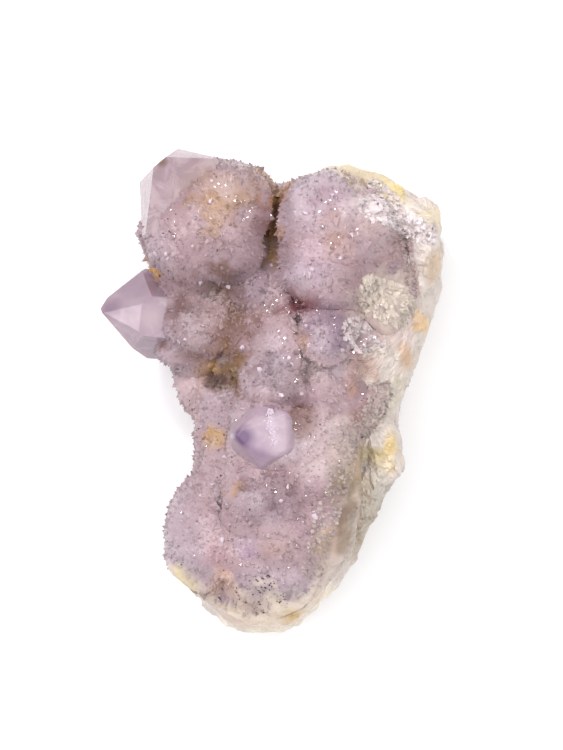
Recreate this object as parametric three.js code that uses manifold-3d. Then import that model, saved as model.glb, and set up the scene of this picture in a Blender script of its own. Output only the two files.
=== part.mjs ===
// Spirit quartz cluster: stout amethyst-tinted crystals leaning out of a broken piece of milky vein quartz,
// each coated with a second generation of small six-sided points that leaves only the large tips bare.
// Everything has grown together, so the whole cluster is one solid.
//
// Millimetres, +Z up. The cluster lies on the flat broken underside of its matrix. X runs across it, with
// the bare tips leaning towards -X, and Y runs along its length.
import * as THREE from "three";
import { ConvexGeometry } from "three/addons/geometries/ConvexGeometry.js";
import { mergeVertices } from "three/addons/utils/BufferGeometryUtils.js";
import Module from "manifold-3d";

// Driving dimensions
const DRUSE_PITCH = 4.1; // from one point of the coating to the next
const DRUSE_HEIGHT = 1.5; // from the foot of a point to its tip
const DRUSE_JITTER = 0.4; // how far a point strays from an even net, in pitches
const CRUST = 1.6; // the coating's thickness where it lies straight on the matrix
const CRUST_DROP = 8; // how far below the matrix's centre it reaches
const FACE_TO_AXIS = 51.8; // degrees between a quartz crystal's axis and the normal of a tip face
const MIDDLE = [-0.04, -0.37]; // the middle of the cluster's bounding box, which becomes the origin

// The matrix: a blunt block about its centre, cut by flat fractures and hollowed by shell-shaped ones.
const MATRIX = {
  centre: [5.5, -1.9, 12],
  rise: 20.5, // from the centre to the top
  drop: 22, // from the centre to where the bottom would be if it were not broken flat
  squareness: 3.2, // 2 would be an ellipsoid
  detail: 7,
  // Its edge seen from above, from the corner behind the large crystal, clockwise
  edge: [
    [-2, 38.5], [5.5, 44.5], [15.8, 47], [25, 43], [30.6, 39.8], [35, 37], [35.6, 32.3], [34.8, 26.1],
    [33.8, 18.8], [32, 13.6], [30.2, 8.5], [27.9, 2.3], [26, -2.9], [25.4, -7], [26.3, -13.2], [25.6, -17.4],
    [23, -21.5], [20.5, -26.7], [18.2, -31.9], [15.9, -38.7], [12.8, -41.8], [9.3, -44.3], [7.4, -46.5],
    [2, -50], [-5, -50.2], [-10.8, -48.4], [-14, -44.6], [-17.6, -40.6], [-18, -33], [-15.2, -24.6],
    [-13.4, -16.3], [-13.4, -8.1], [-14, -1.9], [-12, 6.4], [-10.6, 14.7], [-9.6, 23], [-7, 32.3],
  ],
  // Flat fractures: azimuth and elevation of the face in degrees, and its distance from the centre
  fractures: [
    { azimuth: 0, elevation: -90, distance: 12 },
    { azimuth: 190, elevation: 66, distance: 15.5 },
    { azimuth: -85, elevation: 70, distance: 21.5 },
    { azimuth: 150, elevation: 48, distance: 24 },
    { azimuth: -6, elevation: 20, distance: 26.4 },
    { azimuth: 22, elevation: 42, distance: 31 },
    { azimuth: -28, elevation: 36, distance: 20.4 },
    { azimuth: -40, elevation: 62, distance: 21.5 },
    { azimuth: -53, elevation: 30, distance: 31.5 },
    { azimuth: -96, elevation: 38, distance: 38.4 },
    { azimuth: -135, elevation: 28, distance: 38.8 },
    { azimuth: 62, elevation: 36, distance: 43 },
    { azimuth: 100, elevation: 24, distance: 41.5 },
    { azimuth: 35, elevation: 12, distance: 42.4 },
    { azimuth: 4, elevation: -30, distance: 27 },
    { azimuth: -35, elevation: -36, distance: 23.5 },
    { azimuth: -100, elevation: -32, distance: 41.5 },
    { azimuth: 80, elevation: -34, distance: 40 },
    { azimuth: 172, elevation: -28, distance: 18.5 },
  ],
  // Shell-shaped fractures: the middle of each and its radius
  hollows: [
    { at: [31, 27, 38], radius: 8.5 },
    { at: [42, 8, 26], radius: 11 },
    { at: [33, -12, 33], radius: 10 },
    { at: [27, -33, 27], radius: 10 },
    { at: [22, 56, 34], radius: 13 },
    { at: [-3, -59, 22], radius: 12 },
    { at: [38, -14, 4], radius: 11 },
    { at: [24, 55, 5], radius: 12 },
  ],
};

// How far the coating reaches over the matrix, seen from above and clockwise from the same corner
const CRUST_EDGE = [
  [-2, 38.5], [8, 43.5], [15, 41.5], [22, 39], [24, 31], [20, 25], [19, 15], [22, 8], [20, -1], [16, -9],
  [12, -18], [13, -26], [10, -36], [4, -42], [-6, -45.4], [-13.2, -41.5], [-17.8, -33], [-15.2, -24.6],
  [-11.8, -16.3], [-12, -8.1], [-14.2, -1.9], [-12, 6.4], [-10.6, 14.7], [-9.6, 23], [-7, 32.3],
];

// The three bare tips: a point on the middle line of the crystal, the way that line runs, and the apex, which
// seldom lies on it. The sides are the six distances from the middle line to the faces, in order about it from
// the uppermost, and the steps are how far each tip face lies outside the apex. A turn is in degrees.
const TIPS = [
  {
    at: [-13.6, 33.6, 22], towards: [-0.361, 0.384, 0.707], apex: [-22.4, 46.3, 38.5], turn: -3.6,
    sides: [10.4, 9.6, 9, 13.4, 9.1, 10], steps: [0, 7, 0.7, 0, 1.4, 7],
  },
  {
    at: [-11.9, 13.8, 14], towards: [-0.925, 0.077, 0.364], apex: [-35.1, 16.2, 24], turn: -4.9,
    sides: [6.3, 7.5, 9.8, 8, 8.7, 6], steps: [0.3, 0, 1.8, 0.8, 0, 0.2],
  },
  {
    at: [1.2, -8.6, 29.8], towards: [-0.643, 0.02, 0.766], apex: [-7.8, -8.8, 40.8], turn: 4,
    sides: [7, 7, 7, 7, 7, 7], steps: [0, 0.8, 0, 1.2, 0, 0.8],
  },
];
const TIP_LENGTH = 16; // of a bare crystal below the point on its middle line

// The bodies grown on the matrix: the middle, the way each points, its radius, half its length, how square it
// is, and how far its swellings go as a share of its size. A hexagonal share of 1 has six flat sides, and 0 is
// round. One that has no points is glassy and smooth.
const SLEEVE = { hexagonal: 0.55, squareness: 3, lumpiness: 0.03, pointed: true };
const KNOB = { hexagonal: 0.3, squareness: 2.3, lumpiness: 0.03, pointed: true };
const GLASSY = { hexagonal: 0.2, squareness: 2.4, lumpiness: 0.03, pointed: false };
const CHUNK = { hexagonal: 0.6, squareness: 3.6, lumpiness: 0.07, pointed: false };
const BODIES = [
  // the coats of the three crystals with bare tips
  { ...SLEEVE, at: [-12.3, 31.2, 20], towards: [-0.473, 0.526, 0.707], radius: 12, half: 13.6 },
  { ...SLEEVE, at: [-8.8, 37.2, 29.4], towards: [0.1, -0.11, 0.99], radius: 8, half: 7.4 },
  { ...SLEEVE, at: [-9.2, 13.8, 15.2], towards: [-0.925, 0.065, 0.375], radius: 10.4, half: 15.6 },
  { ...SLEEVE, at: [3.8, -8.6, 25.8], towards: [-0.643, 0, 0.766], radius: 8.8, half: 11.4 },
  // where the coat has crept over the uppermost face of the large tip
  { ...SLEEVE, at: [-8.4, 37.6, 30.2], towards: [0.08, -0.09, 0.99], radius: 6.8, half: 8.6 },
  { ...SLEEVE, at: [-11.4, 31.2, 29.4], towards: [0.08, -0.09, 0.99], radius: 7.4, half: 7.6 },
  { ...SLEEVE, at: [-19.4, 29.8, 27.6], towards: [-0.2, 0.2, 0.95], radius: 5.4, half: 8 },
  // the stout crystal beside the largest one, and the lumps that it is grown together with
  { ...SLEEVE, at: [10.9, 33.4, 28], towards: [-4, 10, 40], radius: 8.4, half: 15.6 },
  { ...SLEEVE, at: [10.4, 25.4, 27], towards: [-2, -2, 30], radius: 7.6, half: 14.6 },
  { ...SLEEVE, at: [13.6, 29.6, 26], towards: [-2, 3, 20], radius: 9.4, half: 14.8 },
  { ...KNOB, at: [18.6, 25.7, 26], towards: [-5, -2, 20], radius: 6.8, half: 11 },
  { ...KNOB, at: [15.4, 31.5, 25.6], towards: [-3, 3, 20], radius: 6.4, half: 11.5 },
  { ...KNOB, at: [17.4, 33.8, 26], towards: [-1, 3, 20], radius: 5.4, half: 10 },
  // the tongue between the upper crystals and the middle one
  { ...SLEEVE, at: [11.2, 11.6, 26], towards: [-3, -1, 30], radius: 5.8, half: 13 },
  { ...SLEEVE, at: [2.6, 4.2, 26], towards: [-8, 4, 25], radius: 7.8, half: 11 },
  { ...SLEEVE, at: [8.5, 6, 25], towards: [1, 0, 20], radius: 8.4, half: 9.4 },
  { ...SLEEVE, at: [-5, 17.5, 18], towards: [-1, 0, 10], radius: 8.6, half: 8.6 },
  { ...KNOB, at: [16.6, 9.4, 22], towards: [2, -8, 20], radius: 5.2, half: 8.6 },
  { ...KNOB, at: [1.2, 27, 18], towards: [-3, 2, 20], radius: 5, half: 8 },
  { ...KNOB, at: [3, 14.5, 23], towards: [-4, 2, 20], radius: 6, half: 9 },
  { ...KNOB, at: [9.4, 1.4, 24], towards: [1, 3, 20], radius: 7, half: 9.4 },
  { ...KNOB, at: [15.4, -2, 22], towards: [5, 3, 20], radius: 6, half: 9 },
  { ...GLASSY, at: [-2.6, 20.6, 22.4], towards: [-6, 4, 20], radius: 4.4, half: 8.4 },
  // the edge below the pointed crystal
  { ...KNOB, at: [-12.5, 0.2, 12], towards: [-20, 3, 14], radius: 4.6, half: 7.2 },
  { ...KNOB, at: [-8.4, -8.6, 14], towards: [-16, -3, 14], radius: 4.4, half: 6.2 },
  { ...KNOB, at: [-6.8, -14.6, 12], towards: [-20, 2, 12], radius: 4.2, half: 5.6 },
  // the lower end
  { ...SLEEVE, at: [-10.4, -28.8, 15], towards: [-16, -5, 20], radius: 9.4, half: 12.4 },
  { ...SLEEVE, at: [-5, -20.4, 16], towards: [-8, 4, 22], radius: 7, half: 11 },
  { ...SLEEVE, at: [1.6, -32, 18], towards: [-4, -8, 20], radius: 9.2, half: 13 },
  { ...SLEEVE, at: [3, -23.5, 19], towards: [1, 0, 20], radius: 10.6, half: 10.6 },
  { ...SLEEVE, at: [-2.4, -31.4, 13], towards: [-3, -3, 20], radius: 10, half: 12.2 },
  { ...KNOB, at: [-14, -23.8, 11], towards: [-20, 2, 9], radius: 4, half: 5.6 },
  { ...KNOB, at: [0.2, -21, 25], towards: [-6, -1, 20], radius: 8, half: 10.4 },
  { ...KNOB, at: [8, -15.6, 24], towards: [-2, 3, 20], radius: 7.2, half: 8.8 },
  { ...KNOB, at: [8.6, -26.6, 19.5], towards: [4, -3, 20], radius: 7.2, half: 10 },
  { ...KNOB, at: [-3.4, -38.4, 11], towards: [-6, -9, 16], radius: 5.8, half: 8.6 },
  { ...KNOB, at: [1.4, -39.4, 11], towards: [0, -8, 18], radius: 6.2, half: 8.6 },
  // the broken edge on the right, from the top down
  { ...GLASSY, at: [22.6, 18.2, 26], towards: [1, 0, 20], radius: 5.2, half: 6.6 },
  { ...CHUNK, at: [15.5, 41, 26], towards: [16, -2, 2], radius: 4.6, half: 8 },
  { ...CHUNK, at: [24.2, 37.2, 28], towards: [18, -9, 1], radius: 4.6, half: 9 },
  { ...CHUNK, at: [29.6, 31.6, 26], towards: [0.6, -16, -1], radius: 4.6, half: 8.6 },
  { ...CHUNK, at: [28.2, 20.4, 23.5], towards: [-1, -16, -3], radius: 4.6, half: 9 },
  { ...CHUNK, at: [26.2, 9, 22.5], towards: [-6, -16, -2], radius: 4.4, half: 8 },
  { ...CHUNK, at: [24.6, 23, 26.5], towards: [-4, -12, 3], radius: 4.4, half: 8 },
  { ...CHUNK, at: [22.2, -11.4, 21.5], towards: [3, -12, -4], radius: 4.2, half: 7.5 },
  { ...CHUNK, at: [18.2, -22.6, 18], towards: [-5, -12, -4], radius: 4, half: 8 },
  { ...CHUNK, at: [10.4, -35.6, 14], towards: [-6.4, -8.3, -3], radius: 4.8, half: 8 },
  { ...CHUNK, at: [-1.8, -44.9, 11.5], towards: [-14, -1.4, 0], radius: 4.8, half: 7.4 },
];

const radians = THREE.MathUtils.degToRad;

// A repeatable number from 0 to 1 for each whole number.
function chance(n) {
  const s = Math.sin(n * 12.9898 + 78.233) * 43758.5453;
  return s - Math.floor(s);
}

// Swellings and dents of a body at a point, from -2 to 2.
function swelling({ x, y, z }) {
  return Math.sin(0.62 * x + 1.3 * Math.sin(0.4 * z)) + Math.sin(0.55 * y + 0.7 * z + 2);
}

// The reach from the matrix's centre along an azimuth to an edge seen from above, straight between its corners.
function planReach(edge, azimuth) {
  const corners = edge.map(([x, y]) => [x - MATRIX.centre[0], y - MATRIX.centre[1]]);
  const ray = [Math.cos(azimuth), Math.sin(azimuth)];
  for (let i = 0; i < corners.length; i++) {
    const [ax, ay] = corners[i];
    const [bx, by] = corners[(i + 1) % corners.length];
    const [sideA, sideB] = [ray[0] * ay - ray[1] * ax, ray[0] * by - ray[1] * bx];
    if (sideA < 0 || sideB >= 0) continue;
    const share = sideA / (sideA - sideB);
    const reach = ray[0] * (ax + share * (bx - ax)) + ray[1] * (ay + share * (by - ay));
    if (reach > 0) return reach;
  }
  throw new Error("the edge leaves a gap");
}

// A blunt block's reach along a direction, from its reach level with the centre and above or below it.
function bluntReach(level, upright, across, along, squareness) {
  return ((across / level) ** squareness + (along / upright) ** squareness) ** (-1 / squareness);
}

// The point of the unbroken matrix in a direction from its centre.
function blockPoint(edge, drop, direction) {
  const level = planReach(edge, Math.atan2(direction.y, direction.x));
  const upright = direction.z > 0 ? MATRIX.rise : drop;
  const across = Math.hypot(direction.x, direction.y);
  const reach = bluntReach(level, upright, across, Math.abs(direction.z), MATRIX.squareness);
  return direction.clone().multiplyScalar(reach).add(new THREE.Vector3(...MATRIX.centre));
}

// The point of the coating's foot where it lies on the matrix: a crust's thickness outside its fractures.
function crustPoint(direction) {
  const centre = new THREE.Vector3(...MATRIX.centre);
  let reach = blockPoint(CRUST_EDGE, CRUST_DROP, direction).distanceTo(centre);
  for (const fracture of MATRIX.fractures) {
    const towards = direction.dot(outward(fracture));
    if (towards > 0) reach = Math.min(reach, (fracture.distance + CRUST) / towards);
  }
  return direction.clone().multiplyScalar(reach).add(centre);
}

// The direction that a fracture faces.
function outward({ azimuth, elevation }) {
  const level = Math.cos(radians(elevation));
  const [x, y] = [level * Math.cos(radians(azimuth)), level * Math.sin(radians(azimuth))];
  return new THREE.Vector3(x, y, Math.sin(radians(elevation)));
}

// The three directions of a body or a crystal: its axis, the side turned most nearly upwards, and the third.
function framed(towards) {
  const axis = new THREE.Vector3(...towards).normalize();
  const up = new THREE.Vector3(0, 0, 1).addScaledVector(axis, -axis.z).normalize();
  return { axis, up, side: new THREE.Vector3().crossVectors(axis, up) };
}

// The point of a coated body's foot surface in a direction from its middle.
function bodyPoint(body, direction) {
  const { axis, up, side } = framed(body.towards);
  const along = direction.dot(axis);
  const [u, v] = [direction.dot(up), direction.dot(side)];
  const sixth = Math.PI / 3;
  const turn = Math.atan2(v, u) + 6 * sixth + sixth / 2;
  const corner = 1 / Math.cos((turn % sixth) - sixth / 2);
  const level = body.radius * (1 + body.hexagonal * (corner - 1)) - DRUSE_HEIGHT / 2;
  const reach = bluntReach(level, body.half, Math.hypot(u, v), Math.abs(along), body.squareness);
  const point = direction.clone().multiplyScalar(reach).add(new THREE.Vector3(...body.at));
  const swollen = 1 + body.lumpiness * swelling(point);
  return direction.clone().multiplyScalar(reach * swollen).add(new THREE.Vector3(...body.at));
}

// An even net of triangles over a unit sphere, with its corners shared.
function net(detail) {
  const sphere = new THREE.IcosahedronGeometry(1, detail);
  sphere.deleteAttribute("normal");
  sphere.deleteAttribute("uv");
  return mergeVertices(sphere, 1e-4);
}

// The directions of a net's corners, each moved a little off its even place.
function strayed(even, detail) {
  const position = even.getAttribute("position");
  const stray = (DRUSE_JITTER * 2.2) / (detail + 1);
  return Array.from({ length: position.count }, (_, i) =>
    new THREE.Vector3().fromBufferAttribute(position, i)
      .add(new THREE.Vector3(chance(3 * i) - 0.5, chance(3 * i + 1) - 0.5, chance(3 * i + 2) - 0.5)
        .multiplyScalar(stray))
      .normalize());
}

// The net's detail that gives points about a pitch apart on an ellipsoid of these half sizes.
function detailFor(radius, half) {
  const area = 4 * Math.PI * radius * (radius + 2 * half) / 3;
  const points = area / (0.866 * DRUSE_PITCH ** 2);
  return Math.max(1, Math.round(Math.sqrt(points / 10)) - 1);
}

// Replaces each corner of a net by a raised six-sided point, and each triangle by the low place between
// three points, so that the points cover the surface with no gaps.
function pointedSkin(place, detail, height) {
  const even = net(detail);
  const directions = strayed(even, detail);
  const corners = directions.map(place);
  const faces = [];
  for (let i = 0; i < even.index.count; i += 3) faces.push([0, 1, 2].map((k) => even.index.getX(i + k)));

  const outward = corners.map(() => new THREE.Vector3());
  for (const [a, b, c] of faces) {
    const normal = new THREE.Vector3().crossVectors(
      corners[b].clone().sub(corners[a]), corners[c].clone().sub(corners[a]));
    for (const corner of [a, b, c]) outward[corner].add(normal);
  }
  const peaks = corners.map((corner, i) =>
    corner.clone().addScaledVector(outward[i].normalize(), height * (0.55 + 0.75 * chance(i + 500))));
  const lows = faces.map((face) =>
    place(face.reduce((sum, i) => sum.add(directions[i]), new THREE.Vector3()).normalize()));

  const faceOf = new Map();
  faces.forEach((face, f) => face.forEach((a, k) => faceOf.set(`${a} ${face[(k + 1) % 3]}`, f)));
  const vertices = [...peaks, ...lows].flatMap((p) => [p.x, p.y, p.z]);
  const triangles = [];
  for (const [edge, left] of faceOf) {
    const [from, to] = edge.split(" ").map(Number);
    const right = faceOf.get(`${to} ${from}`);
    triangles.push(from, peaks.length + right, peaks.length + left);
  }
  return indexed(vertices, triangles);
}

// The same net with no points, for what is broken or glassy.
function plainSkin(place, detail) {
  const even = net(detail);
  const vertices = strayed(even, detail).map(place).flatMap((p) => [p.x, p.y, p.z]);
  return indexed(vertices, Array.from(even.index.array));
}

function indexed(vertices, triangles) {
  return new THREE.BufferGeometry()
    .setAttribute("position", new THREE.Float32BufferAttribute(vertices, 3))
    .setIndex(triangles);
}

// The faces of a quartz crystal as planes, each a normal and its distance from the frame's origin. The six
// sides stand about the middle line, and the six tip faces above them pass through the apex or just outside it.
function crystalFaces(tip) {
  const apex = new THREE.Vector3(...tip.apex);
  const at = new THREE.Vector3(...tip.at);
  const { axis, up, side } = framed(tip.towards);
  const slope = radians(FACE_TO_AXIS);
  const foot = axis.clone().negate();
  const faces = [{ normal: foot, distance: foot.dot(at) + TIP_LENGTH }];
  for (let k = 0; k < 6; k++) {
    const turn = radians(tip.turn + 60 * k);
    const sideways = up.clone().multiplyScalar(Math.cos(turn)).addScaledVector(side, Math.sin(turn));
    faces.push({ normal: sideways, distance: sideways.dot(at) + tip.sides[k] });
    const normal = sideways.clone().multiplyScalar(Math.sin(slope)).addScaledVector(axis, Math.cos(slope));
    faces.push({ normal, distance: normal.dot(apex) + tip.steps[k] });
  }
  return faces;
}

// A crystal as the solid inside all of its faces: its corners are where three faces meet.
function crystal(tip) {
  const faces = crystalFaces(tip);
  const corners = [];
  const inverse = new THREE.Matrix3();
  for (let i = 0; i < faces.length; i++)
    for (let j = i + 1; j < faces.length; j++)
      for (let k = j + 1; k < faces.length; k++) {
        const [a, b, c] = [faces[i], faces[j], faces[k]];
        inverse.set(...a.normal, ...b.normal, ...c.normal);
        if (Math.abs(inverse.determinant()) < 1e-4) continue;
        const corner = new THREE.Vector3(a.distance, b.distance, c.distance).applyMatrix3(inverse.invert());
        const inside = faces.every((face) => face.normal.dot(corner) < face.distance + 1e-4);
        if (inside && !corners.some((other) => other.distanceTo(corner) < 0.05)) corners.push(corner);
      }
  return new ConvexGeometry(corners);
}

const wasm = await Module();
wasm.setup();

// A closed mesh as a solid that can be joined and cut.
function solid(geometry) {
  const bare = geometry.clone();
  for (const name of Object.keys(bare.attributes)) if (name !== "position") bare.deleteAttribute(name);
  const merged = mergeVertices(bare, 1e-3);
  return new wasm.Manifold(new wasm.Mesh({
    numProp: 3,
    vertProperties: merged.getAttribute("position").array,
    triVerts: new Uint32Array(merged.index.array),
  }));
}

// A block that holds everything beyond a flat fracture.
function beyond(fracture) {
  const size = 160;
  const away = outward(fracture);
  const block = new THREE.BoxGeometry(size, size, size);
  block.applyQuaternion(new THREE.Quaternion().setFromUnitVectors(new THREE.Vector3(0, 0, 1), away));
  const middle = away.multiplyScalar(fracture.distance + size / 2).add(new THREE.Vector3(...MATRIX.centre));
  return solid(block.translate(middle.x, middle.y, middle.z));
}

function hollow({ at, radius }) {
  return solid(new THREE.IcosahedronGeometry(radius, 2).translate(...at));
}

function matrix() {
  let stone = solid(plainSkin((direction) => blockPoint(MATRIX.edge, MATRIX.drop, direction), MATRIX.detail));
  for (const fracture of MATRIX.fractures) stone = stone.subtract(beyond(fracture));
  for (const scoop of MATRIX.hollows) stone = stone.subtract(hollow(scoop));
  return stone;
}

function crust() {
  return solid(pointedSkin(crustPoint, detailFor(17, 37), DRUSE_HEIGHT));
}

function coated(body) {
  const place = (direction) => bodyPoint(body, direction);
  const detail = detailFor(body.radius, body.half);
  return solid(body.pointed ? pointedSkin(place, detail, DRUSE_HEIGHT) : plainSkin(place, detail));
}

function cluster() {
  let grown = matrix().add(crust());
  for (const body of BODIES) grown = grown.add(coated(body));
  for (const tip of TIPS) grown = grown.add(solid(crystal(tip)));
  grown = grown.subtract(beyond(MATRIX.fractures[0]));
  const { vertProperties, triVerts } = grown.getMesh();
  return indexed(vertProperties, Array.from(triVerts)).translate(-MIDDLE[0], -MIDDLE[1], 0);
}

const quartz = new THREE.MeshStandardMaterial({ color: 0xcbb3c4, roughness: 0.3, metalness: 0 });
const specimen = new THREE.Mesh(cluster(), quartz);
specimen.name = "quartz_cluster";

const group = new THREE.Group();
group.add(specimen);
export default group;
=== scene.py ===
# %% [markdown]
# # A spirit quartz cluster
#
# Spirit quartz grows twice. First a few stout amethyst-tinted crystals lean out of a vein of milky quartz.
# Later a second flush of tiny quartz points covers them, and leaves only the largest tips bare. This lesson
# dresses a plain faceted solid of such a cluster: the broken vein, the bodies of the coated crystals, some
# twenty thousand small points, and the clear tips.

# %% Load the solid model
import math

import bmesh
import bpy
import numpy as np
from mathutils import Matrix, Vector


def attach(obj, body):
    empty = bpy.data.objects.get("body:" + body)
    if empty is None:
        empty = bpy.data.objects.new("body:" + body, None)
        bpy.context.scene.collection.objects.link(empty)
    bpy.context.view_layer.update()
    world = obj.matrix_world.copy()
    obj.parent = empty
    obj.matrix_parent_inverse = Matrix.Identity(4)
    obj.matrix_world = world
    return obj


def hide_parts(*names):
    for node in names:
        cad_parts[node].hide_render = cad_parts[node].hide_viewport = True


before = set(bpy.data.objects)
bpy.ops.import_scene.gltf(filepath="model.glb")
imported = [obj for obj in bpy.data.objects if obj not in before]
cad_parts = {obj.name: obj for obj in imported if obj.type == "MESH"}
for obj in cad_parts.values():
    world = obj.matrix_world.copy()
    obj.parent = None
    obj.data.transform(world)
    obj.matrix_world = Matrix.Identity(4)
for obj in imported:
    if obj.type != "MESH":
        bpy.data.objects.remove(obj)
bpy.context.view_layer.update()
NODE = "quartz_cluster"

# %% [markdown]
# ## Sizes
#
# Everything below is in millimetres, in the frame in which the cluster was first set out, and is moved by
# MIDDLE and turned into metres only when a mesh is written. The numbers are those of the solid model, so that
# each finished surface lies on the solid that it stands for.

# %% Sizes of the matrix
MM = 0.001
MIDDLE = np.array([-0.04, -0.37, 0.0])
CENTRE = np.array([5.5, -1.9, 12.0])
RISE, DROP, SQUARENESS = 20.5, 22.0, 3.2
CRUST, CRUST_DROP = 1.6, 8.0

# seen from above, clockwise from the corner behind the large crystal
MATRIX_EDGE = np.array([
    (-2, 38.5), (5.5, 44.5), (15.8, 47), (25, 43), (30.6, 39.8), (35, 37), (35.6, 32.3), (34.8, 26.1),
    (33.8, 18.8), (32, 13.6), (30.2, 8.5), (27.9, 2.3), (26, -2.9), (25.4, -7), (26.3, -13.2), (25.6, -17.4),
    (23, -21.5), (20.5, -26.7), (18.2, -31.9), (15.9, -38.7), (12.8, -41.8), (9.3, -44.3), (7.4, -46.5),
    (2, -50), (-5, -50.2), (-10.8, -48.4), (-14, -44.6), (-17.6, -40.6), (-18, -33), (-15.2, -24.6),
    (-13.4, -16.3), (-13.4, -8.1), (-14, -1.9), (-12, 6.4), (-10.6, 14.7), (-9.6, 23), (-7, 32.3),
])
CRUST_EDGE = np.array([
    (-2, 38.5), (8, 43.5), (15, 41.5), (22, 39), (24, 31), (20, 25), (19, 15), (22, 8), (20, -1), (16, -9),
    (12, -18), (13, -26), (10, -36), (4, -42), (-6, -45.4), (-13.2, -41.5), (-17.8, -33), (-15.2, -24.6),
    (-11.8, -16.3), (-12, -8.1), (-14.2, -1.9), (-12, 6.4), (-10.6, 14.7), (-9.6, 23), (-7, 32.3),
])
# azimuth and elevation of each flat fracture in degrees, and its distance from the centre
FRACTURES = np.array([
    (0, -90, 12), (190, 66, 15.5), (-85, 70, 21.5), (150, 48, 24), (-6, 20, 26.4), (22, 42, 31), (-28, 36, 20.4),
    (-40, 62, 21.5), (-53, 30, 31.5), (-96, 38, 38.4), (-135, 28, 38.8), (62, 36, 43), (100, 24, 41.5),
    (35, 12, 42.4), (4, -30, 27), (-35, -36, 23.5), (-100, -32, 41.5), (80, -34, 40), (172, -28, 18.5),
])
# shell-shaped fractures: the middle of each and its radius
HOLLOWS = np.array([
    (31, 27, 38, 8.5), (42, 8, 26, 11), (33, -12, 33, 10), (27, -33, 27, 10), (22, 56, 34, 13), (-3, -59, 22, 12),
    (38, -14, 4, 11), (24, 55, 5, 12),
])

# %% Sizes of what grows on it
FACE_TO_AXIS = math.radians(51.8)  # between a quartz crystal's axis and the normal of a tip face
TIP_LENGTH = 16.0
TIPS = {
    "large": dict(at=(-13.6, 33.6, 22), towards=(-0.361, 0.384, 0.707), apex=(-22.4, 46.3, 38.5), turn=-3.6,
                  sides=(10.4, 9.6, 9, 13.4, 9.1, 10), steps=(0, 7, 0.7, 0, 1.4, 7)),
    "pointed": dict(at=(-11.9, 13.8, 14), towards=(-0.925, 0.077, 0.364), apex=(-35.1, 16.2, 24), turn=-4.9,
                    sides=(6.3, 7.5, 9.8, 8, 8.7, 6), steps=(0.3, 0, 1.8, 0.8, 0, 0.2)),
    "middle": dict(at=(1.2, -8.6, 29.8), towards=(-0.643, 0.02, 0.766), apex=(-7.8, -8.8, 40.8), turn=4,
                   sides=(7, 7, 7, 7, 7, 7), steps=(0, 0.8, 0, 1.2, 0, 0.8)),
}
# middle, the way it points, radius, half length
SLEEVES = [
    ((-12.3, 31.2, 20), (-0.473, 0.526, 0.707), 12, 13.6),
    ((-8.8, 37.2, 29.4), (0.1, -0.11, 0.99), 8.0, 7.4),
    ((-9.2, 13.8, 15.2), (-0.925, 0.065, 0.375), 10.4, 15.6),
    ((3.8, -8.6, 25.8), (-0.643, 0, 0.766), 8.8, 11.4),
    ((10.9, 33.4, 28), (-4, 10, 40), 8.4, 15.6),
    ((10.4, 25.4, 27), (-2, -2, 30), 7.6, 14.6),
    ((11.2, 11.6, 26), (-3, -1, 30), 5.8, 13),
    ((2.6, 4.2, 26), (-8, 4, 25), 7.8, 11),
    ((-10.4, -28.8, 15), (-16, -5, 20), 9.4, 12.4),
    ((-5, -20.4, 16), (-8, 4, 22), 7, 11),
    ((1.6, -32, 18), (-4, -8, 20), 9.2, 13),
    # where the coat has crept over the uppermost face of the large tip
    ((-8.4, 37.6, 30.2), (0.08, -0.09, 0.99), 6.8, 8.6),
    ((-11.4, 31.2, 29.4), (0.08, -0.09, 0.99), 7.4, 7.6),
    ((-19.4, 29.8, 27.6), (-0.2, 0.2, 0.95), 5.4, 8),
    # what the lobes have in common, below their tops
    ((13.6, 29.6, 26), (-2, 3, 20), 9.4, 14.8),
    ((8.5, 6, 25), (1, 0, 20), 8.4, 9.4),
    ((3, -23.5, 19), (1, 0, 20), 10.6, 10.6),
    ((-2.4, -31.4, 13), (-3, -3, 20), 10, 12.2),
    ((-5, 17.5, 18), (-1, 0, 10), 8.6, 8.6),
]
KNOBS = [
    ((18.6, 25.7, 26), (-5, -2, 20), 6.8, 11),
    ((15.4, 31.5, 25.6), (-3, 3, 20), 6.4, 11.5),
    ((17.4, 33.8, 26), (-1, 3, 20), 5.4, 10),
    ((16.6, 9.4, 22), (2, -8, 20), 5.2, 8.6),
    ((1.2, 27, 18), (-3, 2, 20), 5, 8),
    ((3, 14.5, 23), (-4, 2, 20), 6, 9),
    ((9.4, 1.4, 24), (1, 3, 20), 7, 9.4),
    ((15.4, -2, 22), (5, 3, 20), 6, 9),
    ((-12.5, 0.2, 12), (-20, 3, 14), 4.6, 7.2),
    ((-8.4, -8.6, 14), (-16, -3, 14), 4.4, 6.2),
    ((-6.8, -14.6, 12), (-20, 2, 12), 4.2, 5.6),
    ((-14, -23.8, 11), (-20, 2, 9), 4, 5.6),
    ((0.2, -21, 25), (-6, -1, 20), 8, 10.4),
    ((8, -15.6, 24), (-2, 3, 20), 7.2, 8.8),
    ((8.6, -26.6, 19.5), (4, -3, 20), 7.2, 10),
    ((-3.4, -38.4, 11), (-6, -9, 16), 5.8, 8.6),
    ((1.4, -39.4, 11), (0, -8, 18), 6.2, 8.6),
]
GLASSY = [
    ((-2.6, 20.6, 22.4), (-6, 4, 20), 4.4, 8.4),
    ((22.6, 18.2, 26), (1, 0, 20), 5.2, 6.6),
]
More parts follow.
